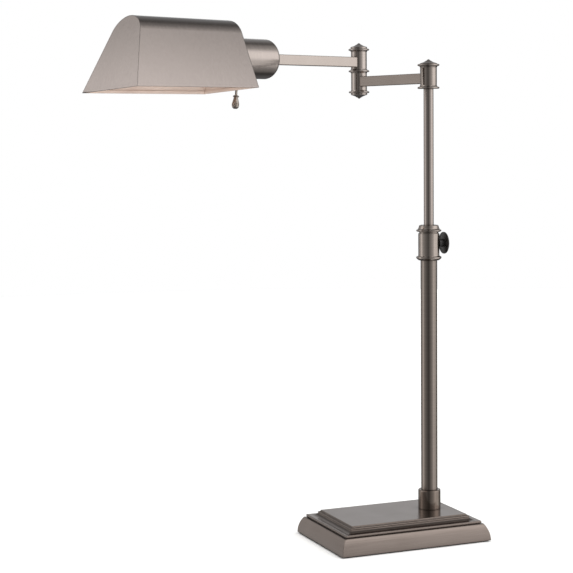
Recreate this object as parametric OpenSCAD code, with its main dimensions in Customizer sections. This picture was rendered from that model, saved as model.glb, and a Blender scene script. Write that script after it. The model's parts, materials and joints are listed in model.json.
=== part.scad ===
// Pharmacy desk lamp: stepped rectangular base, telescoping column, two swinging
// arms and a rectangular shade that rolls about the upper arm.
// Origin: centre of the underside of the base. X runs along the long side of the
// base towards the column, Z is up. The pose drawn is the lamp at rest.

/* [Base] */
// Length of the base at its foot
base_len = 195; // [170:1:240]
// Width of the base at its foot
base_wid = 136; // [120:1:170]
// Height of the vertical foot below the rounded moulding
foot_h = 2; // [1:0.5:4]
// Radius of the rounded moulding
moulding_r = 32; // [28:1:40]
// Height of the ledge above the table
ledge_z = 24.4; // [22:0.2:28]
// Height of the lip around the ledge
lip_h = 2.4; // [1.6:0.2:3.2]
// Inset of the ledge edge from the foot
ledge_inset = 8.4; // [7:0.2:10]
// Inset of the raised step from the foot
step_inset = 19.5; // [18.5:0.5:22]
// Height of the cove from the ledge up to the step
cove_h = 3; // [2:0.5:4]
// Width of the cove on the ledge
cove_w = 6; // [4:0.5:8]
// Inset of the top plate from the foot
top_inset = 22; // [21:0.5:26]
// Height of the top face of the base
base_top = 31.4; // [30:0.2:36]
// Thickness of the shell of the base
shell_t = 3; // [2.5:0.5:4]
// Thickness of the felt under the base
felt_t = 1.5; // [1:0.5:3]
// Thickness of the steel plate that closes the base
plate_t = 1.5; // [1:0.5:2]
// Diameter of the screws that hold the plate
plate_screw_d = 4; // [3:0.5:5]
// Distance of the column from the centre of the base
column_x = 49.6; // [40:0.2:60]

/* [Column] */
// Outer diameter of the lower tube
lower_d = 20; // [17:0.5:22]
// Wall of the lower tube
lower_wall = 1.8; // [1.2:0.1:2.5]
// Outer diameter of the upper tube
upper_d = 11.9; // [10:0.1:12.5]
// Wall of the upper tube
upper_wall = 1.2; // [1:0.1:1.6]
// Height of the ferrule at the foot of the column
ferrule_h = 23.6; // [16:0.2:30]
// Outer diameter of the ferrule
ferrule_d = 27.2; // [25:0.2:30]
// Height of the underside of the height collar above the table
collar_z = 336; // [300:1:380]
// Outer diameter of the barrel of the collar
collar_d = 25.4; // [25:0.2:28]
// Diameter of the two flanges of the collar
collar_flange_d = 30.4; // [28:0.2:34]
// Depth to which the lower tube enters the collar
tube_seat = 14; // [10:1:18]
// Length of the upper tube
upper_len = 280; // [240:5:320]
// Height of the guide plug at the foot of the upper tube
plug_h = 15; // [10:1:20]

/* [Thumb screw] */
// Height of the screw above the underside of the collar
knob_rise = 20.2; // [19:0.2:22]
// Diameter of the knob
knob_d = 26.4; // [20:0.2:28]
// Thickness of the knob
knob_t = 6.6; // [4:0.2:8]
// Gap between the collar and the knob
knob_gap = 5.4; // [4.6:0.2:9]
// Rise of the outer dome of the knob
knob_dome = 4.6; // [3:0.2:6]
// Diameter of the shank of the screw
shank_d = 6; // [5:0.5:7]

/* [Swivels] */
// Outer diameter of the swivel barrels
barrel_d = 20; // [18:0.5:24]
// Height of each swivel barrel
barrel_h = 24; // [20:0.5:30]
// Diameter of the flat rings between the barrels
ring_d = 26.2; // [24:0.2:30]
// Thickness of the flat rings
ring_t = 2.4; // [2:0.1:4]
// Diameter of the swivel pins
pin_d = 9; // [7:0.5:10]
// Diameter of the wire way through the pins
wire_d = 4; // [3:0.5:5]
// Height of the conical caps
cap_h = 4; // [3:0.2:6]
// Height of the round tip on each cap
finial_h = 1; // [0.6:0.2:2]
// Diameter of the round tip
finial_d = 3.4; // [2:0.2:5]
// Height of the step below the caps of the knuckle
cap_step_h = 2; // [1:0.2:4]
// Height of the step below the cap of the hub
hub_step_h = 0.6; // [0.4:0.2:4]

/* [Arms] */
// Height of the centre line of the lower arm above the table
lower_arm_z = 553.7; // [540:0.1:580]
// Distance of the two swivel axes
lower_arm_len = 145; // [120:1:180]
// Distance from the knuckle axis to the back of the socket cup
upper_arm_len = 170; // [140:1:210]
// Height of the arm bars
bar_h = 12.4; // [11:0.1:15]
// Width of the arm bars
bar_w = 10; // [9.6:0.2:13]
// Wall of the arm bars
bar_wall = 1.4; // [1:0.1:2]
// How far a bar lies below the middle of the hub and of the upper barrel
bar_drop = 2.3; // [0:0.1:4]
// Direction of the lower arm at rest, from the X axis
lower_arm_angle = 100.2; // [0:0.1:360]
// Direction of the upper arm at rest, from the X axis
upper_arm_angle = 205.3; // [0:0.1:360]

/* [Socket] */
// Outer diameter of the socket cup
cup_d = 47; // [44:0.5:54]
// Length of the socket cup
cup_len = 64; // [60:1:80]
// Rounding of the closed end of the cup
cup_round = 4.8; // [3:0.2:8]
// Wall of the cup
cup_wall = 1.2; // [1:0.1:2]
// Outer diameter of the ceramic lamp holder
holder_d = 34; // [32:0.5:36]
// Inner diameter of the screw shell
shell_bore = 26.4; // [26:0.1:27]
// Length of the screw shell
shell_len = 25; // [20:1:30]
// Outer diameter of the head pivot
pivot_d = 7.2; // [6:0.2:8]

/* [Switch] */
// Distance of the switch from the back of the cup
switch_x = 48.8; // [44:0.2:54]
// Lean of the switch stem towards the shade
switch_lean = 10; // [0:1:12]
// Diameter of the switch stem
stem_d = 2.8; // [2:0.1:4]
// Distance from the axis of the cup to the top of the switch knob
switch_drop = 43.8; // [38:0.2:60]
// Length of the switch knob
switch_knob_h = 15.6; // [10:0.2:22]
// Largest diameter of the switch knob
switch_knob_d = 8.6; // [6:0.2:12]
// Number of flutes of the switch knob
switch_flutes = 12; // [8:1:16]

/* [Shade] */
// Length of the shade at its rim
shade_len = 188; // [160:1:230]
// Width of the shade at its rim
shade_wid = 90; // [80:1:110]
// Height from the rim to the axis of the socket
shade_drop = 38; // [34:0.5:46]
// Slope of the long sides from upright
side_slope = 18.7; // [14:0.1:22]
// Slope of the free end from upright
end_slope = 24.6; // [10:0.1:35]
// Radius of the rounded top
crown_r = 24.3; // [20:0.1:28]
// Thickness of the sheet
sheet_t = 1; // [0.8:0.1:1.5]
// Height of the folded hem along the rim
hem_h = 3; // [2:0.2:5]
// Roll of the head at rest
head_roll = 3.7; // [-10:0.1:10]

/* [Fits] */
// Radial clearance of parts that turn or slide on each other
run_fit = 0.06; // [0.04:0.01:0.1]
// Axial clearance between parts that turn against each other
face_gap = 0.3; // [0.2:0.05:0.5]
// Radial clearance of parts that are fixed in each other
seat_fit = 0.02; // [0.01:0.01:0.05]

/* [Hidden] */
$fn = 64;

// Base
hollow_len = base_len - 2 * (ledge_inset + shell_t);
hollow_wid = base_wid - 2 * (ledge_inset + shell_t);
plate_z = felt_t;
weight_z = plate_z + plate_t;
weight_top = ledge_z - shell_t;
screw_x = hollow_len / 2 - 9;
screw_y = hollow_wid / 2 - 9;
rod_d = 9.5;
rod_bore = 5;
lip_groove_h = 1;
lip_groove_t = 0.9;
moulding_rise = ledge_z - lip_h - lip_groove_h - foot_h;
bushing_d = 12;
bushing_z = 12;
bushing_head_d = 15;
bushing_head_t = 1.6;
// Depth of the flat seat that takes the head of the bushing out of the moulding
bushing_rise = bushing_z + bushing_head_d / 2 - foot_h;
bushing_seat = moulding_r - sqrt(moulding_r * moulding_r - bushing_rise * bushing_rise);
bushing_y = base_wid / 2 - bushing_seat;
bushing_len = ledge_inset + shell_t - bushing_seat;

// Column
lower_r = lower_d / 2;
lower_bore_r = lower_r - lower_wall;
upper_r = upper_d / 2;
lower_top = collar_z + tube_seat;
collar_h = 34.4;
collar_flange_t = 4.4;
collar_top = collar_z + collar_h;
collar_cap_h = 8;
bush_wall = 1.6;
knob_z = collar_z + knob_rise;
knob_x = collar_d / 2 + knob_gap;
tip_x = upper_r + 0.1;
tip_t = 2;

// Stack of the hub
hub_z = lower_arm_z + bar_drop - barrel_h / 2;
hub_ring_z = hub_z - face_gap - ring_t;
hub_top = hub_z + barrel_h + face_gap;
upper_foot = hub_ring_z - upper_len;

// Stack of the knuckle
knuckle_z = lower_arm_z - barrel_h / 2;
middle_z = knuckle_z + barrel_h;
swing_z = middle_z + ring_t + face_gap;
swing_top = swing_z + barrel_h + face_gap;
upper_arm_z = swing_z + barrel_h / 2 - bar_drop;
pin_r = pin_d / 2;
barrel_r = barrel_d / 2;
flare = 0.9;
flare_h = 1.5;

// Head
cup_r = cup_d / 2;
holder_r = holder_d / 2;
holder_x = 30;
holder_len = cup_len + sheet_t + 3 - holder_x;
shell_r = shell_bore / 2;
shell_t_wall = 0.5;
contact_sink = 2;
shell_x = holder_x + 6;
bridge_t = 1.6;
holder_screw_d = 3;
// The switch starts just outside the ceramic holder, measured along its leaning stem
switch_neck_r = 3.2;
switch_start = (holder_r + 0.4 + switch_neck_r * sin(switch_lean)) / cos(switch_lean);
pivot_r = pivot_d / 2;
pivot_len = 13;
crown_z = (shade_wid / 2 * cos(side_slope) - crown_r) / sin(side_slope) - shade_drop;

// A tube or a disc with a hole, standing on its lower end
module pipe(r, bore, h) {
    difference() {
        cylinder(r = r, h = h);
        translate([0, 0, -1]) cylinder(r = bore, h = h + 2);
    }
}

// The places of the two swivel axes, of the column and of the head
module at_column(z) translate([column_x, 0, z]) children();

module at_knuckle(z)
    at_column(z) rotate([0, 0, lower_arm_angle]) translate([lower_arm_len, 0, 0]) children();

module at_upper_arm(z)
    at_knuckle(z) rotate([0, 0, upper_arm_angle - lower_arm_angle]) children();

module at_head()
    at_upper_arm(upper_arm_z) translate([upper_arm_len, 0, 0]) rotate([head_roll, 0, 0])
        children();

// A shape drawn along Z, turned to run along X from x
module along_x(x) translate([x, 0, 0]) rotate([0, 90, 0]) children();

// Base -----------------------------------------------------------------------

// Cross-section of the base: foot, rounded moulding, ledge with a lip, cove, step, top plate
module base_section(half) {
    step_z = ledge_z + cove_h;
    cove_r = (cove_w * cove_w + cove_h * cove_h) / (2 * cove_h);
    groove_z = (step_z + base_top) / 2;
    edge = half - step_inset;
    translate([-half, 0]) square([2 * half, foot_h]);
    for (side = [0, 1]) mirror([side, 0]) {
        intersection() {
            translate([half - moulding_r, foot_h]) circle(r = moulding_r, $fn = 96);
            translate([0, foot_h]) square([half, moulding_rise]);
        }
        // Groove under the lip, and the lip with its softened upper edge
        square([half - ledge_inset - lip_groove_t, ledge_z]);
        translate([0, ledge_z - lip_h]) square([half - ledge_inset, lip_h - 0.6]);
        translate([0, ledge_z - lip_h]) square([half - ledge_inset - 0.6, lip_h]);
        translate([half - ledge_inset - 0.6, ledge_z - 0.6]) circle(r = 0.6);
        difference() {
            translate([0, ledge_z - 1]) square([edge + cove_w, cove_h + 1]);
            translate([edge + cove_w, ledge_z + cove_r]) circle(r = cove_r, $fn = 96);
        }
        translate([0, step_z]) square([edge - 0.6, groove_z - step_z]);
        translate([0, groove_z]) square([edge - 1.6, 0.8]);
        translate([0, groove_z + 0.8]) square([half - top_inset, base_top - groove_z - 0.8]);
        translate([edge - 0.6, (step_z + groove_z) / 2]) circle(d = groove_z - step_z);
    }
}

module base_block() {
    intersection() {
        rotate([90, 0, 0]) translate([0, 0, -base_wid]) linear_extrude(2 * base_wid)
            base_section(base_len / 2);
        rotate([90, 0, 90]) translate([0, 0, -base_len]) linear_extrude(2 * base_len)
            base_section(base_wid / 2);
    }
}

module centred_block(len, wid, z0, z1)
    translate([-len / 2, -wid / 2, z0]) cube([len, wid, z1 - z0]);

module at_plate_screws(z)
    for (x = [-1, 1], y = [-1, 1]) translate([x * screw_x, y * screw_y, z]) children();

// Origin on the seat of the cord bushing, Z into the base
module at_bushing() translate([-column_x, bushing_y, bushing_z]) rotate([90, 0, 0]) children();

module base_shell() color("#8f8a86") {
    inset = 2 * (top_inset + shell_t);
    difference() {
        translate([0, 0, felt_t]) intersection() {
            translate([0, 0, -felt_t]) base_block();
            centred_block(2 * base_len, 2 * base_wid, 0, 2 * base_top);
        }
        centred_block(hollow_len, hollow_wid, -1, ledge_z - shell_t);
        centred_block(base_len - inset, base_wid - inset, 0, base_top - shell_t);
        at_column(0) cylinder(d = rod_d + 2 * seat_fit, h = base_top + 1);
        at_bushing() {
            translate([0, 0, -1]) cylinder(d = bushing_d, h = bushing_len + 2);
            translate([0, 0, -bushing_seat - 1])
                cylinder(d = bushing_head_d + 0.6, h = bushing_seat + 1);
        }
    }
    // Bosses for the plate screws, from the roof of the hollow to the plate
    at_plate_screws(weight_z)
        pipe(plate_screw_d / 2 + 2.5, plate_screw_d / 2, weight_top - weight_z);
}

module base_weight() color("#3c3b3a") {
    gap = 1;
    difference() {
        centred_block(hollow_len - 2 * gap, hollow_wid - 2 * gap, weight_z, weight_top - gap);
        at_column(0) cylinder(d = 26, h = base_top);
        at_plate_screws(0) cylinder(r = plate_screw_d / 2 + 3, h = base_top);
        // Way for the cord from the bushing to the column
        translate([-column_x - 6, 0, bushing_z - 6]) cube([12, base_wid, 12]);
        translate([-column_x - 6, -6, bushing_z - 6]) cube([2 * column_x + 12, 12, 12]);
    }
}

module base_plate() color("#6e6c6a") {
    difference() {
        centred_block(hollow_len - 0.4, hollow_wid - 0.4, plate_z, plate_z + plate_t);
        at_plate_screws(0) cylinder(d = plate_screw_d + 0.6, h = base_top);
    }
}

module felt_pad() color("#26292b") {
    difference() {
        centred_block(base_len - 6, base_wid - 6, 0, felt_t);
        at_plate_screws(-1) cylinder(d = 2 * plate_screw_d + 1, h = 2 * felt_t + 2);
    }
}

module plate_screws() color("#9a9a9a")
    at_plate_screws(plate_z - 1.2) {
        cylinder(d = 1.8 * plate_screw_d, h = 1.2);
        cylinder(d = plate_screw_d - 2 * seat_fit, h = 10);
    }

module cord_bushing() color("#1c1c1c")
    at_bushing() difference() {
        union() {
            translate([0, 0, -bushing_head_t])
                cylinder(d1 = bushing_head_d - 2, d2 = bushing_head_d, h = bushing_head_t);
            cylinder(d = bushing_d - 2 * seat_fit, h = bushing_len + 0.5);
        }
        translate([0, 0, -bushing_head_t - 1]) cylinder(d = 7, h = bushing_len + 4);
    }

module column_rod() color("#b59b5a")
    at_column(weight_z + 0.5) pipe(rod_d / 2, rod_bore / 2, base_top + 12 - weight_z);

module column_washer() color("#8a8a8a")
    at_column(base_top - shell_t - 1.6) pipe(10, rod_d / 2 + seat_fit, 1.6);

module column_nut() color("#b59b5a")
    at_column(base_top - shell_t - 1.6 - 5) difference() {
        cylinder(r = 9, h = 5, $fn = 6);
        translate([0, 0, -1]) cylinder(d = rod_d + 2 * seat_fit, h = 7);
    }

module column_ferrule() color("#85807c")
    at_column(base_top) difference() {
        rotate_extrude() difference() {
            square([ferrule_d / 2, ferrule_h]);
            // Small quarter-round at the shoulder
            translate([ferrule_d / 2 - 1.2, ferrule_h - 1.2]) difference() {
                square(3);
                circle(r = 1.2);
            }
        }
        translate([0, 0, 5]) cylinder(r = lower_r + seat_fit, h = ferrule_h);
        translate([0, 0, -1]) cylinder(d = rod_d + 2 * seat_fit, h = ferrule_h);
    }

// Column ---------------------------------------------------------------------

module lower_tube() color("#6b6461")
    at_column(base_top + 5) pipe(lower_r, lower_bore_r, lower_top - base_top - 5);

module collar_body() color("#8d8581") {
    r = collar_d / 2;
    at_column(collar_z) difference() {
        rotate_extrude() {
            difference() {
                translate([0, collar_flange_t]) square([r, collar_h - collar_flange_t]);
                // Thin groove under the upper flange
                translate([r - 1.1, collar_h - 2.2]) square([2, 2.2]);
            }
            // Hollow fillet that runs out into the lower flange
            difference() {
                translate([0, collar_flange_t]) square([r + 1.8, 1.8]);
                translate([r + 1.8, collar_flange_t + 1.8]) circle(r = 1.8);
            }
        }
        translate([0, 0, -1]) cylinder(r = lower_r + seat_fit, h = tube_seat + 1);
        cylinder(r = upper_r + bush_wall, h = collar_h + 1);
        translate([0, 0, knob_rise]) along_x(0) cylinder(d = shank_d + 0.2, h = collar_d);
    }
}

module collar_ring() color("#85807c") {
    r = collar_flange_d / 2;
    at_column(collar_z) difference() {
        rotate_extrude() polygon([[0, 0], [r - 3, 0], [r - 1.2, 1.2], [r, 2.6], [r, 3.9],
            [r - 0.5, collar_flange_t], [0, collar_flange_t]]);
        translate([0, 0, -1]) cylinder(r = lower_r + seat_fit, h = collar_flange_t + 2);
    }
}

module collar_cap() color("#85807c") {
    flange = collar_flange_d / 2;
    waist = collar_d / 2 - 0.2;
    at_column(collar_top) difference() {
        // Thick flange, a shoulder that sweeps in from it, and a nearly upright crown
        rotate_extrude() polygon([[0, 0], [flange - 1.4, 0], [flange - 0.3, 0.7], [flange, 1.3],
            [flange - 0.3, 2.1], [waist + 1.1, 2.9], [waist + 0.3, 3.8], [waist - 0.4, 5.4],
            [waist - 0.8, 7], [waist - 1.2, 7.7], [waist - 1.9, collar_cap_h],
            [0, collar_cap_h]]);
        translate([0, 0, -1]) cylinder(r = upper_r + 0.4, h = collar_cap_h + 2);
    }
}

module collar_bush() color("#d8d4c8") {
    foot = tube_seat + 0.2;
    at_column(collar_z) difference() {
        translate([0, 0, foot]) pipe(upper_r + bush_wall - seat_fit, upper_r + run_fit,
            collar_h - foot);
        translate([0, 0, knob_rise]) along_x(0) cylinder(d = shank_d + 0.2, h = collar_d);
    }
}

// Thumb screw ----------------------------------------------------------------

module at_thumb(x) at_column(knob_z) along_x(x) children();

// Lens-shaped knob: a full outer dome and a flatter dome toward the collar, cut to a rim
module thumb_knob() color("#161616") {
    r = knob_d / 2;
    lens_r = r + 1;
    knob_back = knob_t - knob_dome;
    outer_r = (lens_r * lens_r + knob_dome * knob_dome) / (2 * knob_dome);
    inner_r = (lens_r * lens_r + knob_back * knob_back) / (2 * knob_back);
    at_thumb(knob_x) difference() {
        union() {
            rotate_extrude() intersection() {
                translate([0, knob_t - outer_r]) circle(r = outer_r, $fn = 180);
                translate([0, inner_r]) circle(r = inner_r, $fn = 360);
                square([r, knob_t]);
            }
            translate([0, 0, -knob_gap + face_gap]) cylinder(r = 5, h = knob_gap + 1);
        }
        translate([0, 0, -knob_gap - 1]) cylinder(d = shank_d, h = knob_gap + 3.6);
    }
}

module thumb_shank() color("#5f5c59") {
    start = tip_x + tip_t;
    at_thumb(start) cylinder(d = shank_d, h = knob_x + 2.6 - start);
}

module thumb_tip() color("#d8d4c8")
    at_thumb(tip_x) cylinder(d = shank_d - 0.6, h = tip_t);

// Upper column ---------------------------------------------------------------

module upper_tube() color("#6b6461")
    at_column(upper_foot) pipe(upper_r, upper_r - upper_wall, upper_len);

module guide_plug() color("#d8d4c8")
    at_column(upper_foot - 2) difference() {
        cylinder(r = lower_bore_r - run_fit, h = plug_h);
        translate([0, 0, 2]) cylinder(r = upper_r + seat_fit, h = plug_h);
        translate([0, 0, -1]) cylinder(r = upper_r - 2, h = plug_h);
    }

// Flat ring with a rounded edge, on which a barrel turns
module flat_ring(bore) {
    edge = ring_t / 2;
    difference() {
        rotate_extrude() {
            square([ring_d / 2 - edge, ring_t]);
            translate([ring_d / 2 - edge, edge]) circle(r = edge);
        }
        translate([0, 0, -1]) cylinder(r = bore, h = ring_t + 2);
    }
}

// Conical cap with a small round tip, drilled for the end of the pin
module finial_cap(r, step) {
    tip = finial_d / 2;
    tip_r = (tip * tip + finial_h * finial_h) / (2 * finial_h);
    difference() {
        rotate_extrude() {
            square([r, step]);
            polygon([[0, step / 2], [r, step / 2], [r, step], [r - 0.9, step + 0.5],
                [(r + tip) / 2, step + 0.42 * cap_h], [tip, step + cap_h], [0, step + cap_h]]);
            intersection() {
                translate([0, step + cap_h + finial_h - tip_r]) circle(r = tip_r);
                translate([0, step + cap_h - 0.1]) square([tip, finial_h + 0.1]);
            }
        }
        translate([0, 0, -1]) cylinder(r = pin_r - 1.5, h = step + 2.4);
    }
}

module hub_stud() color("#7a746f") {
    spigot = upper_r - upper_wall - seat_fit;
    at_column(hub_ring_z) difference() {
        union() {
            translate([0, 0, -14]) cylinder(r = spigot, h = 14);
            translate([0, 0, -1]) cylinder(r = pin_r, h = hub_top + ring_t - hub_ring_z + 1);
            cylinder(r = pin_r - 1.5 - seat_fit, h = hub_top + ring_t - hub_ring_z + 1.2);
        }
        translate([0, 0, -15]) cylinder(d = wire_d, h = 80);
    }
}

module hub_lower_ring() color("#85807c") at_column(hub_ring_z) flat_ring(pin_r + seat_fit);

module hub_upper_ring() color("#85807c") at_column(hub_top) flat_ring(pin_r + seat_fit);

module hub_cap() color("#85807c") at_column(hub_top + ring_t) finial_cap(barrel_r + 0.4, hub_step_h);

// Lower arm ------------------------------------------------------------------

// Square-edged hollow bar that meets the barrels, between two points on X
module arm_bar(x0, x1) {
    edge = 0.5;
    module outline(w, h) polygon([[-w / 2 + edge, -h / 2], [w / 2 - edge, -h / 2],
        [w / 2, -h / 2 + edge], [w / 2, h / 2 - edge], [w / 2 - edge, h / 2],
        [-w / 2 + edge, h / 2], [-w / 2, h / 2 - edge], [-w / 2, -h / 2 + edge]]);
    translate([x0, 0, 0]) rotate([90, 0, 90]) linear_extrude(x1 - x0) difference() {
        outline(bar_w, bar_h);
        square([bar_w - 2 * bar_wall, bar_h - 2 * bar_wall], center = true);
    }
}

// Barrel with flared ends, a running bore and a wire way to the bar, which leaves it along X
module barrel(bore, wire_z) difference() {
    union() {
        pipe(barrel_r, bore, barrel_h);
        for (end = [0, 1]) translate([0, 0, end * barrel_h]) mirror([0, 0, end]) difference() {
            cylinder(r1 = barrel_r + flare, r2 = barrel_r, h = flare_h);
            translate([0, 0, -1]) cylinder(r = bore, h = flare_h + 2);
        }
    }
    translate([0, 0, wire_z]) along_x(0) cylinder(d = wire_d, h = barrel_d);
}

module hub_barrel() color("#8d8581")
    at_column(hub_z) rotate([0, 0, lower_arm_angle])
        barrel(pin_r + run_fit, barrel_h / 2 - bar_drop);

module lower_arm_bar() color("#8a817c")
    at_column(lower_arm_z) rotate([0, 0, lower_arm_angle]) difference() {
        arm_bar(0, lower_arm_len);
        for (x = [0, lower_arm_len]) translate([x, 0, -barrel_h])
            cylinder(r = barrel_r, h = 2 * barrel_h);
    }

module knuckle_lower_barrel() color("#8d8581")
    at_knuckle(knuckle_z) rotate([0, 0, 180]) barrel(pin_r + seat_fit, barrel_h / 2);

module knuckle_pin() color("#7a746f") {
    len = swing_top + ring_t - (knuckle_z - ring_t);
    at_knuckle(knuckle_z - ring_t) difference() {
        union() {
            cylinder(r = pin_r, h = len);
            translate([0, 0, -1.2]) cylinder(r = pin_r - 1.5 - seat_fit, h = len + 2.4);
        }
        translate([0, 0, -2]) cylinder(d = wire_d, h = len + 4);
        // Windows through which the wire passes into the two bars
        for (z = [lower_arm_z, upper_arm_z]) translate([0, 0, z - knuckle_z + ring_t])
            along_x(-pin_d) cylinder(d = wire_d, h = 2 * pin_d);
    }
}

module knuckle_lower_ring() color("#85807c")
    at_knuckle(knuckle_z - ring_t) flat_ring(pin_r + seat_fit);

module knuckle_bottom_cap() color("#85807c")
    at_knuckle(knuckle_z - ring_t) mirror([0, 0, 1]) finial_cap(barrel_r + 0.4, cap_step_h);

module knuckle_middle_ring() color("#85807c") at_knuckle(middle_z) flat_ring(pin_r + seat_fit);

module knuckle_upper_ring() color("#85807c") at_knuckle(swing_top) flat_ring(pin_r + seat_fit);

module knuckle_top_cap() color("#85807c")
    at_knuckle(swing_top + ring_t) finial_cap(barrel_r + 0.4, cap_step_h);

// Upper arm ------------------------------------------------------------------

module knuckle_upper_barrel() color("#8d8581")
    at_upper_arm(swing_z) barrel(pin_r + run_fit, barrel_h / 2 - bar_drop);

module upper_arm_bar() color("#b3a9a4")
    at_upper_arm(upper_arm_z) difference() {
        arm_bar(0, upper_arm_len - face_gap);
        translate([0, 0, -barrel_h]) cylinder(r = barrel_r, h = 2 * barrel_h);
    }

module head_pivot() color("#7a746f")
    at_upper_arm(upper_arm_z) along_x(upper_arm_len - 12) difference() {
        union() {
            // Plug that fills the end of the bar
            rotate([0, 0, 90]) linear_extrude(12 - face_gap)
                square([bar_w - 2 * bar_wall - 2 * seat_fit, bar_h - 2 * bar_wall - 2 * seat_fit],
                    center = true);
            cylinder(r = pivot_r, h = 12 + pivot_len);
        }
        translate([0, 0, -1]) cylinder(d = wire_d, h = 14 + pivot_len);
    }

module pivot_nut() color("#b59b5a")
    at_upper_arm(upper_arm_z) along_x(upper_arm_len + cup_wall + face_gap) difference() {
        cylinder(r = 7, h = 4, $fn = 6);
        translate([0, 0, -1]) cylinder(r = pivot_r + seat_fit, h = 6);
    }

// Head -----------------------------------------------------------------------

// Cup profile: closed end on the axis at z = 0, rounded edge, open at the far end
module cup_profile(r, start, edge) {
    translate([0, start]) square([r - edge, cup_len - start]);
    translate([0, start + edge]) square([r, cup_len - start - edge]);
    translate([r - edge, start + edge]) circle(r = edge);
}

module socket_cup() color("#8d8581")
    at_head() difference() {
        along_x(0) rotate_extrude() difference() {
            cup_profile(cup_r, 0, cup_round);
            cup_profile(cup_r - cup_wall, cup_wall, cup_round - cup_wall);
            translate([0, -1]) square([pivot_r + run_fit, cup_len]);
            translate([0, cup_len - 1]) square([cup_r - cup_wall, 2]);
        }
        at_switch() cylinder(r = switch_neck_r + seat_fit, h = 2 * cup_r);
    }

module at_holder_screws(x)
    at_head() for (y = [-1, 1]) translate([0, y * 13, 0]) along_x(x) children();

module socket_bridge() color("#9a9a9a") difference() {
    at_head() along_x(holder_x - bridge_t) pipe(cup_r - cup_wall - seat_fit, 9, bridge_t);
    at_holder_screws(0) cylinder(d = holder_screw_d + 0.4, h = holder_x);
}

// Ceramic holder: a cup for the screw shell, with a pocket in its floor for the contact
module lamp_holder() color("#e6e1d6") difference() {
    at_head() along_x(holder_x) cylinder(r = holder_r, h = holder_len);
    at_head() along_x(shell_x) cylinder(r = shell_r + shell_t_wall + seat_fit, h = holder_len);
    at_head() along_x(shell_x - contact_sink) cylinder(r = 6, h = holder_len);
    at_holder_screws(holder_x - 1) cylinder(d = holder_screw_d, h = 5.5);
}

module screw_shell() color("#b59b5a")
    at_head() along_x(shell_x) difference() {
        cylinder(r = shell_r + shell_t_wall, h = shell_len);
        translate([0, 0, shell_t_wall]) cylinder(r = shell_r, h = shell_len);
        translate([0, 0, -1]) cylinder(r = 7, h = 4);
    }

module centre_contact() color("#b59b5a")
    at_head() along_x(shell_x - contact_sink) {
        cylinder(r = 4, h = 1.2);
        cylinder(r = 2.4, h = contact_sink + shell_t_wall);
    }

module holder_screws() color("#9a9a9a")
    at_holder_screws(holder_x - bridge_t - 2) {
        cylinder(d = 1.8 * holder_screw_d, h = 2);
        cylinder(d = holder_screw_d - 2 * seat_fit, h = bridge_t + 6);
    }

// Cross-section of the shade: splayed sides that meet a round crown.
// t is how far the outline lies inside the outer face.
module shade_section(t) {
    half = shade_wid / 2 - t / cos(side_slope);
    touch_y = (crown_r - t) * cos(side_slope);
    touch_z = crown_z + (crown_r - t) * sin(side_slope);
    low = shade_drop + t;
    reach = half + t * tan(side_slope);
    translate([0, crown_z]) circle(r = crown_r - t, $fn = 96);
    polygon([[-reach, -low], [reach, -low], [touch_y, touch_z], [-touch_y, touch_z]]);
}

// Closed form of the shade, t inside its outer face, from its upright end along X
module shade_form(t) {
    cut = 4 * shade_len;
    difference() {
        translate([cup_len + t, 0, 0]) rotate([90, 0, 90])
            linear_extrude(shade_len + cut / 4) shade_section(t);
        // Everything beyond the sloping end
        translate([cup_len + shade_len - t / cos(end_slope), 0, -shade_drop])
            rotate([0, -end_slope, 0]) translate([0, -cut / 2, -cut / 2]) cube(cut);
    }
}

module shade() color("#9c938f")
    at_head() difference() {
        shade_form(0);
        intersection() {
            shade_form(sheet_t);
            translate([0, -shade_wid, hem_h - shade_drop])
                cube([2 * shade_len, 2 * shade_wid, 2 * shade_wid]);
        }
        intersection() {
            shade_form(2 * sheet_t);
            translate([0, -shade_wid, -shade_drop - 5])
                cube([2 * shade_len, 2 * shade_wid, hem_h + 6]);
        }
        along_x(cup_len - 1) cylinder(r = holder_r + seat_fit, h = sheet_t + 2);
    }

module shade_ring() color("#9a9a9a")
    at_head() along_x(cup_len + sheet_t) pipe(holder_r + 4, holder_r + seat_fit, 2);

// Switch ---------------------------------------------------------------------

// The switch hangs down, so its own Z points to the table and starts at the cup axis
module at_switch()
    translate([switch_x, 0, 0]) rotate([180, -switch_lean, 0]) children();

module switch_bushing() color("#7a746f")
    at_head() at_switch() difference() {
        union() {
            translate([0, 0, switch_start])
                cylinder(r = switch_neck_r, h = cup_r + 1.6 - switch_start);
            translate([0, 0, cup_r + 1.4]) cylinder(r = switch_neck_r + 1, h = 1.8);
        }
        cylinder(r = stem_d / 2 + run_fit, h = 2 * cup_r);
    }

module switch_stem() color("#7a746f")
    at_head() at_switch() translate([0, 0, switch_start])
        cylinder(d = stem_d, h = switch_drop + 4 - switch_start);

module switch_knob() color("#a39c97") {
    r = switch_knob_d / 2;
    top_r = r * 0.84;
    at_head() at_switch() translate([0, 0, switch_drop]) difference() {
        rotate_extrude() {
            polygon([[0, 0], [r * 0.6, 0], [top_r, 0.7], [top_r, 1.5], [r * 0.6, 2.2],
                [r * 0.6, 3], [r * 0.8, switch_knob_h * 0.42], [r, switch_knob_h * 0.62],
                [r, switch_knob_h * 0.78], [r * 0.84, switch_knob_h * 0.92],
                [r * 0.5, switch_knob_h], [0, switch_knob_h]]);
        }
        translate([0, 0, -1]) cylinder(d = stem_d + 2 * seat_fit, h = 5);
        for (i = [0 : switch_flutes - 1]) rotate([0, 0, i * 360 / switch_flutes])
            translate([r + 0.25, 0, 3.2]) cylinder(r = 0.75, h = switch_knob_h, $fn = 16);
    }
}

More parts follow.
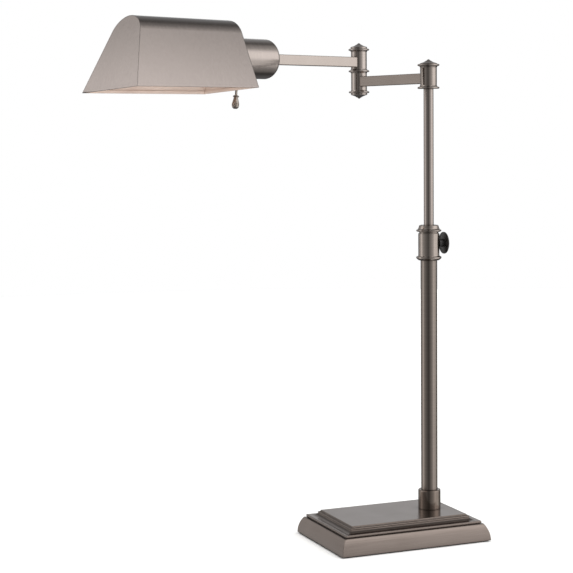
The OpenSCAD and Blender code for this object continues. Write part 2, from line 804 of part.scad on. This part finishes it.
base_shell();
base_weight();
base_plate();
felt_pad();
plate_screws();
cord_bushing();
column_rod();
column_nut();
column_washer();
column_ferrule();
lower_tube();
collar_body();
collar_cap();
collar_ring();
collar_bush();
thumb_knob();
thumb_shank();
thumb_tip();
upper_tube();
guide_plug();
hub_stud();
hub_lower_ring();
hub_upper_ring();
hub_cap();
hub_barrel();
lower_arm_bar();
knuckle_lower_barrel();
knuckle_pin();
knuckle_lower_ring();
knuckle_bottom_cap();
knuckle_middle_ring();
knuckle_upper_ring();
knuckle_top_cap();
knuckle_upper_barrel();
upper_arm_bar();
head_pivot();
pivot_nut();
socket_cup();
socket_bridge();
lamp_holder();
screw_shell();
centre_contact();
shade();
shade_ring();
holder_screws();
switch_bushing();
switch_stem();
switch_knob();
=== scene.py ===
# Looks of a pharmacy desk lamp: antique pewter plating on steel and zinc castings, a black
# phenolic thumb knob, a white enamelled reflector, and the hidden porcelain, brass, nylon,
# iron, felt and rubber pieces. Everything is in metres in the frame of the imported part.

import json
import math

import bmesh
import bpy
from mathutils import Matrix, Vector


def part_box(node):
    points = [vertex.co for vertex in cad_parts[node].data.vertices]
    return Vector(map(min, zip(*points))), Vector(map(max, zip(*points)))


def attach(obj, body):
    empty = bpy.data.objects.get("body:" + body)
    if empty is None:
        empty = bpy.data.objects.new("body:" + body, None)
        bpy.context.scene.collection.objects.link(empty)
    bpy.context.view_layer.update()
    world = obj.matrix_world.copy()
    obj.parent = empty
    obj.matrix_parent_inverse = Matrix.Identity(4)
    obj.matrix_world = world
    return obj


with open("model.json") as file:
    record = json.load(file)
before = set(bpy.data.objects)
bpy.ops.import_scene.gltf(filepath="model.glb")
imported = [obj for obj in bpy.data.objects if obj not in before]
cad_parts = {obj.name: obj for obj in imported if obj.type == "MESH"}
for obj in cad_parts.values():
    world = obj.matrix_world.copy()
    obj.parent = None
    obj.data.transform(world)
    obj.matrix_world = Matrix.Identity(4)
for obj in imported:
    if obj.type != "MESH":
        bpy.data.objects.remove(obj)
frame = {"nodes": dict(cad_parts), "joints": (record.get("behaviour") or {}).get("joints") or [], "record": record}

MM = 0.001
nodes = frame["nodes"]
joints = {j["name"]: j for j in frame["joints"]}
mounts = {m["name"]: m for m in frame["record"]["mounts"]}
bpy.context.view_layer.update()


# Tools ----------------------------------------------------------------------

def linear(code):
    """The linear colour of an sRGB hex code, as a shader takes it."""
    parts = [int(code[i:i + 2], 16) / 255 for i in (1, 3, 5)]
    return tuple(c / 12.92 if c <= 0.04045 else ((c + 0.055) / 1.055) ** 2.4
                 for c in parts) + (1.0,)


def add(tree, kind, settings, sockets):
    """Adds a node. settings are its own options, and stops are a ramp's positions and colours;
    sockets gives each input a value or the output that feeds it."""
    node = tree.nodes.new("ShaderNode" + kind)
    for name, value in settings.items():
        if name == "stops":
            ramp = node.color_ramp.elements
            while len(ramp) < len(value):
                ramp.new(0.5)
            for stop, (place, shade) in zip(ramp, value):
                stop.position, stop.color = place, shade
        else:
            setattr(node, name, value)
    for name, value in sockets.items():
        if isinstance(value, bpy.types.NodeSocket):
            tree.links.new(value, node.inputs[name])
        else:
            node.inputs[name].default_value = value
    return node.outputs


def new_finish(name):
    """An empty material and its node tree."""
    material = bpy.data.materials.new(name)
    material.use_nodes = True
    material.node_tree.nodes.clear()
    return material, material.node_tree


def skin(tree, sockets):
    """The one surface shader of a finish, with its constants on its own sockets."""
    shader = add(tree, "BsdfPrincipled", {}, sockets)
    add(tree, "OutputMaterial", {}, {"Surface": shader["BSDF"]})


def frame_along(point, along, up=(0, 0, 1)):
    """A frame at a point with X along a direction and Z as near up as it can be."""
    x = Vector(along).normalized()
    y = Vector(up).cross(x).normalized()
    turn = Matrix((x, y, x.cross(y))).transposed().to_4x4()
    return Matrix.Translation(Vector(point)) @ turn


def centre_of(node):
    low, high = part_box(node)
    return (low + high) / 2


def grain(tree, place, size):
    """Coordinates in a piece's own frame, divided by a grain size in millimetres each way."""
    spot, turn, _ = place.decompose()
    own = add(tree, "TexCoord", {}, {})["Object"]
    turned = add(tree, "Mapping", {"vector_type": "TEXTURE"},
                 {"Vector": own, "Location": spot, "Rotation": turn.to_euler()})["Vector"]
    return add(tree, "VectorMath", {"operation": "DIVIDE"},
               {0: turned, 1: [s * MM for s in size]})["Vector"]


# Finishes -------------------------------------------------------------------

def antique_pewter(name, place, brush, bright, dark, rough, groove=0.0015, clouds_by=0.3,
                   edge=0.7, patina_and_shade="#5a514b", reach=4, painted_shade_heights=None):
    """Nickel-grey plating brushed with a fine wheel, browned with age and lacquered. The brushing draws highlights
    out across its lines, the corners are darkened by a brown tarnish and by painted shade, and polishing rounds
    the edges so that they catch a line of light.
    brush is the mean size of a brush mark along X, Y and Z of the piece. Real marks are about 0.05 mm wide; they
    are drawn wider so that they show. edge is the rounding, and reach how far the darkened corners spread out, in
    millimetres. The last argument, if given, holds heights in the piece's frame: the darker and the lighter end of
    a painted shade that darkens the piece towards its top, and the height of a painted dark line of shade along
    its lower edge."""
    material, tree = new_finish(name)
    marks = add(tree, "TexNoise", {}, {"Vector": grain(tree, place, brush), "Scale": 1.0,
                                       "Detail": 2.0, "Roughness": 0.5})["Fac"]
    clouds = add(tree, "TexNoise", {}, {"Vector": grain(tree, place, (30, 30, 30)),
                                        "Scale": 1.0, "Detail": 3.0, "Roughness": 0.5})["Fac"]
    base = add(tree, "Math", {"operation": "MULTIPLY_ADD"},
               {0: clouds, 1: clouds_by, 2: 0.25 - clouds_by / 2})["Value"]
    tone = add(tree, "Math", {"operation": "MULTIPLY_ADD"}, {0: marks, 1: 0.5, 2: base})["Value"]
    tint = add(tree, "ValToRGB", {"stops": [(0.28, linear(dark)), (0.72, linear(bright))]},
               {"Fac": tone})["Color"]
    # Painted shade: the tint darkens towards the top of the piece, and a painted dark line of shade runs along its
    # lower edge.
    if painted_shade_heights:
        height = add(tree, "SeparateXYZ", {}, {"Vector": grain(tree, place, (1, 1, 1))})["Z"]
        fade = add(tree, "MapRange", {}, {"Value": height, "From Min": painted_shade_heights[0],
                                          "From Max": painted_shade_heights[1], "To Min": 0.68,
                                          "To Max": 1.0})["Result"]
        painted_rim_shade = add(tree, "MapRange", {}, {"Value": height, "From Min": painted_shade_heights[2],
                                              "From Max": painted_shade_heights[2] + 0.3, "To Min": 0.3,
                                              "To Max": 1.0})["Result"]
        for painted_darkening in (fade, painted_rim_shade):
            tint = add(tree, "VectorMath", {"operation": "SCALE"},
                       {0: tint, "Scale": painted_darkening})["Vector"]
    # Painted shade: the more hidden a corner is, the more its tint is mixed toward a dark brown. This stands for
    # tarnish in the hollows and for the shade that falls there.
    hidden = add(tree, "AmbientOcclusion", {"samples": 4}, {"Distance": reach * MM})["AO"]
    depth = add(tree, "MapRange", {}, {"Value": hidden, "From Min": 0.35,
                                       "From Max": 0.8})["Result"]
    patina_and_shade_tint = add(tree, "Mix", {"data_type": "RGBA"}, {0: depth, 6: linear(patina_and_shade), 7: tint})[2]
    satin = add(tree, "MapRange", {}, {"Value": marks, "From Min": 0.3, "From Max": 0.7,
                                       "To Min": rough - 0.02, "To Max": rough + 0.04})["Result"]
    rounded = add(tree, "Bevel", {"samples": 6}, {"Radius": edge * MM})["Normal"]
    relief = add(tree, "Bump", {}, {"Height": marks, "Strength": 0.5, "Distance": groove * MM,
                                    "Normal": rounded})["Normal"]
    skin(tree, {"Base Color": patina_and_shade_tint, "Metallic": 1.0, "Roughness": satin, "Normal": relief})
    return material


def drawn_metal(name, bright, dark, rough, metal_grain=(0.5, 0.5, 6)):
    """Bare or zinc-plated stock as it leaves the machine: faint tool lines and a thin film."""
    material, tree = new_finish(name)
    lines = add(tree, "TexNoise", {}, {"Vector": grain(tree, Matrix(), metal_grain),
                                       "Scale": 1.0, "Detail": 2.0})["Fac"]
    film = add(tree, "TexNoise", {}, {"Vector": grain(tree, Matrix(), (7, 7, 7)),
                                      "Scale": 1.0, "Detail": 4.0})["Fac"]
    tint = add(tree, "ValToRGB", {"stops": [(0.3, linear(dark)), (0.7, linear(bright))]},
               {"Fac": film})["Color"]
    roughness = add(tree, "MapRange", {}, {"Value": lines, "From Min": 0.3, "From Max": 0.7,
                                           "To Min": rough - 0.06, "To Max": rough + 0.08})
    relief = add(tree, "Bump", {}, {"Height": lines, "Strength": 0.4,
                                    "Distance": 0.01 * MM})["Normal"]
    skin(tree, {"Base Color": tint, "Metallic": 1.0, "Roughness": roughness["Result"],
                "Normal": relief})
    return material


def black_phenolic():
    """Compression-moulded phenolic: near-black, a soft sheen, faint flow marks from the die."""
    material, tree = new_finish("black_phenolic")
    flow = add(tree, "TexNoise", {}, {"Vector": grain(tree, Matrix(), (5, 5, 5)), "Scale": 1.0,
                                      "Detail": 5.0, "Distortion": 0.6})["Fac"]
    die = add(tree, "TexNoise", {}, {"Vector": grain(tree, Matrix(), (0.35, 0.35, 0.35)),
                                     "Scale": 1.0, "Detail": 2.0})["Fac"]
    tint = add(tree, "ValToRGB", {"stops": [(0.35, linear("#1c1b1a")),
                                            (0.7, linear("#2d2b2a"))]}, {"Fac": flow})["Color"]
    roughness = add(tree, "MapRange", {}, {"Value": flow, "From Min": 0.3, "From Max": 0.7,
                                           "To Min": 0.24, "To Max": 0.36})["Result"]
    relief = add(tree, "Bump", {}, {"Height": die, "Strength": 0.35,
                                    "Distance": 0.01 * MM})["Normal"]
    skin(tree, {"Base Color": tint, "Roughness": roughness, "Normal": relief, "IOR": 1.6})
    return material


def white_enamel():
    """Sprayed stove enamel on the reflector: warm white, glossy, with a slight orange peel."""
    material, tree = new_finish("white_enamel")
    peel = add(tree, "TexNoise", {}, {"Vector": grain(tree, Matrix(), (1.4, 1.4, 1.4)),
                                      "Scale": 1.0, "Detail": 1.5})["Fac"]
    warmth = add(tree, "TexNoise", {}, {"Vector": grain(tree, Matrix(), (30, 30, 30)),
                                        "Scale": 1.0, "Detail": 3.0})["Fac"]
    tint = add(tree, "ValToRGB", {"stops": [(0.3, linear("#d3bfb3")),
                                            (0.7, linear("#dfcdc2"))]}, {"Fac": warmth})["Color"]
    roughness = add(tree, "MapRange", {}, {"Value": warmth, "From Min": 0.3, "From Max": 0.7,
                                           "To Min": 0.4, "To Max": 0.5})["Result"]
    relief = add(tree, "Bump", {}, {"Height": peel, "Strength": 0.4,
                                    "Distance": 0.03 * MM})["Normal"]
    skin(tree, {"Base Color": tint, "Roughness": roughness, "Normal": relief, "IOR": 1.5})
    return material


def glazed_porcelain():
    """Electrical porcelain under a clear glaze: cool white with a few iron specks."""
    material, tree = new_finish("glazed_porcelain")
    specks = add(tree, "TexVoronoi", {}, {"Vector": grain(tree, Matrix(), (3, 3, 3)),
                                          "Scale": 1.0})["Distance"]
    wave = add(tree, "TexNoise", {}, {"Vector": grain(tree, Matrix(), (6, 6, 6)),
                                      "Scale": 1.0, "Detail": 2.0})["Fac"]
    tint = add(tree, "ValToRGB", {"stops": [(0.03, linear("#9a8f80")), (0.06, linear("#e9e6df")),
                                            (1.0, linear("#efece6"))]}, {"Fac": specks})["Color"]
    roughness = add(tree, "MapRange", {}, {"Value": wave, "From Min": 0.3, "From Max": 0.7,
                                           "To Min": 0.08, "To Max": 0.18})["Result"]
    relief = add(tree, "Bump", {}, {"Height": wave, "Strength": 0.25,
                                    "Distance": 0.05 * MM})["Normal"]
    skin(tree, {"Base Color": tint, "Roughness": roughness, "Normal": relief, "IOR": 1.54})
    return material


def natural_nylon():
    """Unfilled nylon 66 for sliding bushes: creamy, waxy, a little light goes in."""
    material, tree = new_finish("natural_nylon")
    clouds = add(tree, "TexNoise", {}, {"Vector": grain(tree, Matrix(), (4, 4, 4)),
                                        "Scale": 1.0, "Detail": 3.0})["Fac"]
    tint = add(tree, "ValToRGB", {"stops": [(0.3, linear("#cfc9b6")),
                                            (0.7, linear("#dcd7c8"))]}, {"Fac": clouds})["Color"]
    roughness = add(tree, "MapRange", {}, {"Value": clouds, "From Min": 0.3, "From Max": 0.7,
                                           "To Min": 0.38, "To Max": 0.52})["Result"]
    relief = add(tree, "Bump", {}, {"Height": clouds, "Strength": 0.2,
                                    "Distance": 0.02 * MM})["Normal"]
    skin(tree, {"Base Color": tint, "Roughness": roughness, "Normal": relief, "IOR": 1.53,
                "Subsurface Weight": 0.15, "Subsurface Scale": 0.002})
    return material


def sand_cast_iron():
    """Grey iron as cast: the sand leaves a pitted dark skin with a trace of rust."""
    material, tree = new_finish("sand_cast_iron")
    sand = add(tree, "TexNoise", {}, {"Vector": grain(tree, Matrix(), (0.8, 0.8, 0.8)),
                                      "Scale": 1.0, "Detail": 4.0})["Fac"]
    rust = add(tree, "TexNoise", {}, {"Vector": grain(tree, Matrix(), (18, 18, 18)),
                                      "Scale": 1.0, "Detail": 6.0})["Fac"]
    tint = add(tree, "ValToRGB", {"stops": [(0.4, linear("#2b2a29")), (0.6, linear("#34312e")),
                                            (0.72, linear("#4d3426"))]}, {"Fac": rust})["Color"]
    relief = add(tree, "Bump", {}, {"Height": sand, "Strength": 0.8,
                                    "Distance": 0.2 * MM})["Normal"]
    roughness = add(tree, "MapRange", {}, {"Value": sand, "To Min": 0.6, "To Max": 0.9})
    skin(tree, {"Base Color": tint, "Metallic": 0.6, "Roughness": roughness["Result"],
                "Normal": relief})
    return material


def pressed_felt():
    """Wool felt 1.5 mm thick, die-cut: matted fibres with a soft halo at the edge."""
    material, tree = new_finish("pressed_felt")
    fibres = add(tree, "TexNoise", {}, {"Vector": grain(tree, Matrix(), (0.5, 0.5, 0.3)),
                                        "Scale": 1.0, "Detail": 6.0, "Distortion": 1.2})["Fac"]
    tint = add(tree, "ValToRGB", {"stops": [(0.3, linear("#17191b")),
                                            (0.7, linear("#2b2e31"))]}, {"Fac": fibres})["Color"]
    roughness = add(tree, "MapRange", {}, {"Value": fibres, "To Min": 0.85, "To Max": 1.0})
    relief = add(tree, "Bump", {}, {"Height": fibres, "Strength": 0.9,
                                    "Distance": 0.3 * MM})["Normal"]
    skin(tree, {"Base Color": tint, "Roughness": roughness["Result"], "Normal": relief,
                "Sheen Weight": 0.5, "Sheen Roughness": 0.6})
    return material


def moulded_rubber():
    """Black rubber bushing: matt, faintly bloomed."""
    material, tree = new_finish("moulded_rubber")
    bloom = add(tree, "TexNoise", {}, {"Vector": grain(tree, Matrix(), (3, 3, 3)),
                                       "Scale": 1.0, "Detail": 4.0})["Fac"]
    tint = add(tree, "ValToRGB", {"stops": [(0.35, linear("#131313")),
                                            (0.75, linear("#242322"))]}, {"Fac": bloom})["Color"]
    roughness = add(tree, "MapRange", {}, {"Value": bloom, "To Min": 0.5, "To Max": 0.8})
    relief = add(tree, "Bump", {}, {"Height": bloom, "Strength": 0.4,
                                    "Distance": 0.02 * MM})["Normal"]
    skin(tree, {"Base Color": tint, "Roughness": roughness["Result"], "Normal": relief})
    return material


# The frames that the brushing follows: the column, the two bars, the head and the switch
column_place = Matrix.Translation(centre_of("lower_tube"))
lower_bar_place = frame_along(joints["lower_arm_swing"]["pos_m"],
                              centre_of("knuckle_pin") - centre_of("hub_stud"))
knuckle_place = Matrix.Translation(centre_of("knuckle_pin"))
head_place = frame_along(joints["head_roll"]["pos_m"], joints["head_roll"]["axis"])
switch_place = frame_along(joints["switch_turn"]["pos_m"], joints["switch_turn"]["axis"],
                           up=(1, 0, 0))

lowest_rim = (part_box("shade")[0].z - head_place.translation.z) / MM

# Turned pieces are brushed round their axis, bars along their length, and the shade is
# brushed up and down its sides
# Painted light and shade: these copies of the pewter differ in tone for how the light falls, not in their plating.
# They are lighter on the knuckle, bars, cup, shade, switch and upper tube, and darker on the base, the lower tube
# and the ferrule lower down.
base_pewter = antique_pewter("antique_pewter_base", Matrix(), (40, 40, 1.2),
                             "#9c918b", "#8b807a", 0.2, edge=1.4, reach=12)
lower_tube_pewter = antique_pewter("antique_pewter_lower_tube", column_place, (60, 60, 2.0),
                                   "#968d86", "#8a817b", 0.12, groove=0.0005)
upper_tube_pewter = antique_pewter("antique_pewter_upper_tube", column_place, (60, 60, 2.0),
                                   "#b0a7a2", "#a49b96", 0.12, groove=0.0005)
turned_pewter = antique_pewter("antique_pewter_turned", column_place, (40, 40, 1.2),
                               "#b2a9a3", "#a0968f", 0.14, groove=0.001, edge=0.5)
ferrule_pewter = antique_pewter("antique_pewter_ferrule", column_place, (40, 40, 1.2),
                                "#948981", "#81766e", 0.14, groove=0.001, edge=0.6)
knuckle_pewter = antique_pewter("antique_pewter_knuckle", knuckle_place, (40, 40, 1.2),
                                "#bdb4af", "#aaa19b", 0.14, groove=0.001, edge=0.5)
lower_bar_pewter = antique_pewter("antique_pewter_lower_bar", lower_bar_place, (40, 1.2, 1.2),
                                  "#aca19a", "#998e87", 0.2, edge=0.8)
upper_bar_pewter = antique_pewter("antique_pewter_upper_bar", head_place, (40, 1.2, 1.2),
                                  "#bbb2ac", "#aea49e", 0.2, edge=0.8)
# The shade's tint carries painted shade: darker towards the crown, with a dark line along the rim.
shade_pewter = antique_pewter("antique_pewter_shade", head_place, (1.8, 1.8, 60),
                              "#b9b0ac", "#aaa19d", 0.22, clouds_by=0.12, edge=1.6,
                              painted_shade_heights=(36, -30, lowest_rim + 1.2))
cup_pewter = antique_pewter("antique_pewter_cup", head_place, (1.2, 40, 40),
                            "#bab1ac", "#a9a09b", 0.17, edge=0.8)
switch_pewter = antique_pewter("antique_pewter_switch", switch_place, (6, 2, 2),
                               "#b4aca4", "#8e857e", 0.16, edge=0.4)
zinc_plate = drawn_metal("zinc_plated_steel", "#b9bbbd", "#9a9c9e", 0.3)
yellow_brass = drawn_metal("machined_brass", "#c9a866", "#a98848", 0.28)
phenolic = black_phenolic()
enamel = white_enamel()
porcelain = glazed_porcelain()
nylon = natural_nylon()
iron = sand_cast_iron()
felt = pressed_felt()
rubber = moulded_rubber()

FINISHES = {
    base_pewter: ["base_shell"],
    lower_tube_pewter: ["lower_tube"],
    upper_tube_pewter: ["upper_tube"],
    ferrule_pewter: ["column_ferrule"],
    turned_pewter: ["collar_body", "collar_cap", "collar_ring",
                    "hub_lower_ring", "hub_upper_ring", "hub_cap", "hub_barrel"],
    knuckle_pewter: ["knuckle_lower_barrel", "knuckle_upper_barrel", "knuckle_lower_ring",
                     "knuckle_middle_ring", "knuckle_upper_ring", "knuckle_bottom_cap",
                     "knuckle_top_cap"],
    lower_bar_pewter: ["lower_arm_bar"],
    upper_bar_pewter: ["upper_arm_bar"],
    shade_pewter: ["shade"],
    cup_pewter: ["socket_cup"],
    switch_pewter: ["switch_knob", "switch_stem", "switch_bushing"],
    zinc_plate: ["thumb_shank", "plate_screws", "base_plate", "column_washer", "hub_stud",
                 "knuckle_pin", "head_pivot", "socket_bridge", "holder_screws", "shade_ring"],
    yellow_brass: ["column_rod", "column_nut", "pivot_nut", "screw_shell", "centre_contact"],
    phenolic: ["thumb_knob"],
    porcelain: ["lamp_holder"],
    nylon: ["collar_bush", "guide_plug", "thumb_tip"],
    iron: ["base_weight"],
    felt: ["felt_pad"],
    rubber: ["cord_bushing"],
}
for finish, names in FINISHES.items():
    for name in names:
        for slot in nodes[name].material_slots:
            slot.material = finish


# Extra pieces ---------------------------------------------------------------

def new_piece(name, mesh, finish, body):
    """Puts a bmesh in the scene as a piece that rides on a body."""
    data = bpy.data.meshes.new(name)
    mesh.to_mesh(data)
    mesh.free()
    data.materials.append(finish)
    piece = bpy.data.objects.new(name, data)
    bpy.context.scene.collection.objects.link(piece)
    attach(piece, body)
    return piece


def reflector_coat():
    """The enamel on the inside of the shade: the sheet's inner faces, lifted by the coat."""
    coat, crease = 0.15 * MM, math.radians(25)
    inside = centre_of("shade")
    mesh = bmesh.new()
    mesh.from_mesh(nodes["shade"].data)
    bmesh.ops.remove_doubles(mesh, verts=mesh.verts, dist=0.001 * MM)
    outer = [f for f in mesh.faces if (f.calc_center_median() - inside).dot(f.normal) > 0]
    bmesh.ops.delete(mesh, geom=outer, context="FACES")
    mesh.normal_update()
    for v in mesh.verts:
        v.co += v.normal * coat
    for f in mesh.faces:
        f.smooth = True
        f.material_index = 0
    for e in mesh.edges:
        e.smooth = e.calc_face_angle(0) < crease
    return new_piece("reflector_enamel", mesh, enamel, "head")


def rolled_thread():
    """The rolled thread of the screw shell: a round ridge of 3.6 mm pitch, 7 to the inch."""
    mount = mounts["lamp_socket"]
    bore, length = mount["dims"]["r_mm"], mount["dims"]["length_mm"]
    place = frame_along(mount["pos_m"], mount["axis"])
    pitch, ridge, half_width, sunk = 3.63, 0.75, 1.2, 0.05
    plain_end = 2.4
    steps, sides, fade_steps = 36, 8, 12
    turns = int((length - 4) / pitch)
    start = plain_end - length / 2
    mesh = bmesh.new()
    rings = []
    for i in range(turns * steps + 1):
        angle = math.tau * i / steps
        fade = min(1, i / fade_steps, (turns * steps - i) / fade_steps)
        ring = []
        for k in range(sides + 1):
            rise = math.pi * k / sides
            r = bore + sunk - ridge * fade * math.sin(rise)
            x = start + pitch * i / steps - half_width * math.cos(rise)
            ring.append(mesh.verts.new(place @ (Vector(
                (x, r * math.cos(angle), r * math.sin(angle))) * MM)))
        rings.append(ring)
    for a, b in zip(rings, rings[1:]):
        for k in range(sides):
            mesh.faces.new((a[k], a[k + 1], b[k + 1], b[k])).smooth = True
    return new_piece("shell_thread", mesh, yellow_brass, "head")


reflector_coat()
rolled_thread()


# Stage ----------------------------------------------------------------------

CAMERA_PLACE = (-0.850328, -1.761409, 0.500608)
CAMERA_TURN, CAMERA_DIP, CAMERA_ROLL = -22.068, 5.648, -0.617
CAMERA_LENS, CAMERA_SENSOR = 102.88, 36.0

camera_data = bpy.data.cameras.new("camera")
camera_data.sensor_width = CAMERA_SENSOR
camera_data.lens = CAMERA_LENS
camera_data.clip_start = 0.05
camera = bpy.data.objects.new("camera", camera_data)
camera.matrix_world = (Matrix.Translation(CAMERA_PLACE)
                       @ Matrix.Rotation(math.radians(CAMERA_TURN), 4, "Z")
                       @ Matrix.Rotation(math.radians(90 - CAMERA_DIP), 4, "X")
                       @ Matrix.Rotation(math.radians(CAMERA_ROLL), 4, "Z"))
bpy.context.scene.collection.objects.link(camera)
bpy.context.scene.camera = camera


def pale_floor():
    """A matt white sheet, round so that no straight edge shows."""
    material, tree = new_finish("matt_white_floor")
    mottle = add(tree, "TexNoise", {}, {"Vector": grain(tree, Matrix(), (60, 60, 60)),
                                        "Scale": 1.0, "Detail": 3.0})["Fac"]
    tint = add(tree, "ValToRGB", {"stops": [(0.3, linear("#f4f4f3")),
                                            (0.7, linear("#f7f7f6"))]}, {"Fac": mottle})["Color"]
    skin(tree, {"Base Color": tint, "Roughness": 0.9, "Specular IOR Level": 0.1})
    mesh = bmesh.new()
    bmesh.ops.create_circle(mesh, cap_ends=True, segments=96, radius=3.0)
    data = bpy.data.meshes.new("floor")
    mesh.to_mesh(data)
    mesh.free()
    data.materials.append(material)
    floor = bpy.data.objects.new("floor", data)
    bpy.context.scene.collection.objects.link(floor)
    floor.visible_glossy = False


def grey(level, warmth=0.02):
    """A light level as a colour, slightly warm or cool."""
    return (level * (1 + warmth), level, level * (1 - warmth))


# Light levels of the studio by direction from the camera side, in degrees, and by height.
# The front aisle is dim, the side panels are bright, and the back wall is cool.
STUDIO_STRENGTH = 1.5
OFF = grey(0.0)
FRONT_AISLE = [(-70, OFF), (-60, grey(0.43)), (-36, grey(0.25)), (-20, grey(0.18)),
               (-5, grey(0.11)), (8, grey(0.25)), (20, grey(0.35)), (37, grey(0.53)),
               (48, grey(0.71)), (56, grey(1.00)), (62, grey(0.91)), (70, OFF)]
FRONT_HEIGHT = [(-60, 0.35), (-25, 0.6), (-8, 0.68), (30, 0.68), (40, 0.8), (48, 1.0),
                (58, 0.6), (70, 0.3), (85, 0.25)]
LEFT_PANEL = [(-146, OFF), (-140, grey(0.07)), (-136, grey(0.52)), (-127, grey(0.52)),
              (-122, grey(0.34)), (-114, grey(0.38)), (-107, grey(0.6)), (-100, grey(0.76)),
              (-94, grey(0.98)), (-84, grey(0.98)), (-77, grey(0.62)), (-70, grey(0.45)),
              (-60, OFF)]
LEFT_HEIGHT = [(-50, 0.2), (-25, 0.6), (-10, 0.8), (20, 0.8), (28, 1.0), (44, 1.0),
               (58, 0.3)]
RIGHT_PANEL = [(60, OFF), (67, grey(0.96)), (100, grey(0.98)), (105, grey(0.98)),
               (110, grey(0.46)), (117, grey(0.34)), (130, grey(0.26)), (140, grey(0.05)),
               (146, OFF)]
RIGHT_HEIGHT = [(-50, 0.4), (-38, 0.6), (-28, 0.7), (-17, 0.62), (-8, 0.7), (2, 0.96),
                (16, 1.0), (25, 0.98), (33, 0.95), (38, 0.9), (44, 0.65), (60, 0.35)]
BACK_WALL = [(-180, grey(0.47, -0.02)), (-160, grey(0.4, -0.02)), (-146, grey(0.12)),
             (-138, OFF), (112, OFF), (130, grey(0.14)), (150, grey(0.26)),
             (166, grey(0.46, -0.02)), (180, grey(0.47, -0.02))]
BACK_HEIGHT = [(-60, 0.15), (-12, 0.22), (4, 0.25), (10, 1.0), (17, 1.0), (24, 0.55),
               (40, 0.42), (80, 0.3)]


def studio():
    """Soft light all round: a tall panel to each side, a dim aisle in front and a plain cool
    wall behind. Only the light is shaped; the wall that shows is white."""
    world = bpy.data.worlds.new("studio")
    world.use_nodes = True
    bpy.context.scene.world = world
    tree = world.node_tree
    tree.nodes.clear()
    ray = add(tree, "TexCoord", {}, {})["Generated"]
    front = Vector((camera.location.x, camera.location.y, 0)).normalized()
    side = Vector((0, 0, 1)).cross(front)
    ahead = add(tree, "VectorMath", {"operation": "DOT_PRODUCT"}, {0: ray, 1: front})["Value"]
    right = add(tree, "VectorMath", {"operation": "DOT_PRODUCT"}, {0: ray, 1: side})["Value"]
    height = add(tree, "SeparateXYZ", {}, {"Vector": ray})["Z"]
    turn = add(tree, "Math", {"operation": "ARCTAN2"}, {0: right, 1: ahead})["Value"]
    rise = add(tree, "Math", {"operation": "ARCSINE"}, {0: height})["Value"]
    # Each zone of the room is a row of levels by direction times a column by height
    zones = [
        (FRONT_AISLE, FRONT_HEIGHT), (LEFT_PANEL, LEFT_HEIGHT),
        (RIGHT_PANEL, RIGHT_HEIGHT), (BACK_WALL, BACK_HEIGHT)]
    around = add(tree, "MapRange", {}, {"Value": turn, "From Min": -math.pi,
                                        "From Max": math.pi})["Result"]
    upward = add(tree, "MapRange", {}, {"Value": rise, "From Min": -math.pi / 2,
                                        "From Max": math.pi / 2})["Result"]
    light = None
    for row, column in zones:
        level = add(tree, "ValToRGB", {"stops": [((a + 180) / 360, (r, g, b, 1))
                                                 for a, (r, g, b) in row]}, {"Fac": around})
        shade = add(tree, "ValToRGB", {"stops": [((a + 90) / 180, (v, v, v, 1))
                                                 for a, v in column]}, {"Fac": upward})
        zone = add(tree, "VectorMath", {"operation": "MULTIPLY"},
                   {0: level["Color"], 1: shade["Color"]})["Vector"]
        light = add(tree, "VectorMath", {}, {0: light, 1: zone})["Vector"] if light else zone
    shaped = add(tree, "Background", {}, {"Color": light,
                                          "Strength": STUDIO_STRENGTH})["Background"]
    plain = add(tree, "Background", {}, {"Color": (1, 1, 1, 1), "Strength": 1.0})["Background"]
    seen = add(tree, "LightPath", {}, {})["Is Camera Ray"]
    mixed = add(tree, "MixShader", {}, {0: seen, 1: shaped, 2: plain})["Shader"]
    add(tree, "OutputWorld", {}, {"Surface": mixed})


def overcast():
    """Broad even light from above for the floor and the matt pieces. The metal doesn't
    mirror it, as if the ceiling were far up."""
    data = bpy.data.lights.new("overcast", "SUN")
    data.angle, data.energy = math.radians(100), 3.0
    lamp = bpy.data.objects.new("overcast", data)
    lamp.rotation_euler = (math.radians(12), math.radians(8), 0)
    lamp.visible_glossy = False
    bpy.context.scene.collection.objects.link(lamp)


pale_floor()
studio()
overcast()
bpy.context.scene.view_settings.view_transform = "Standard"
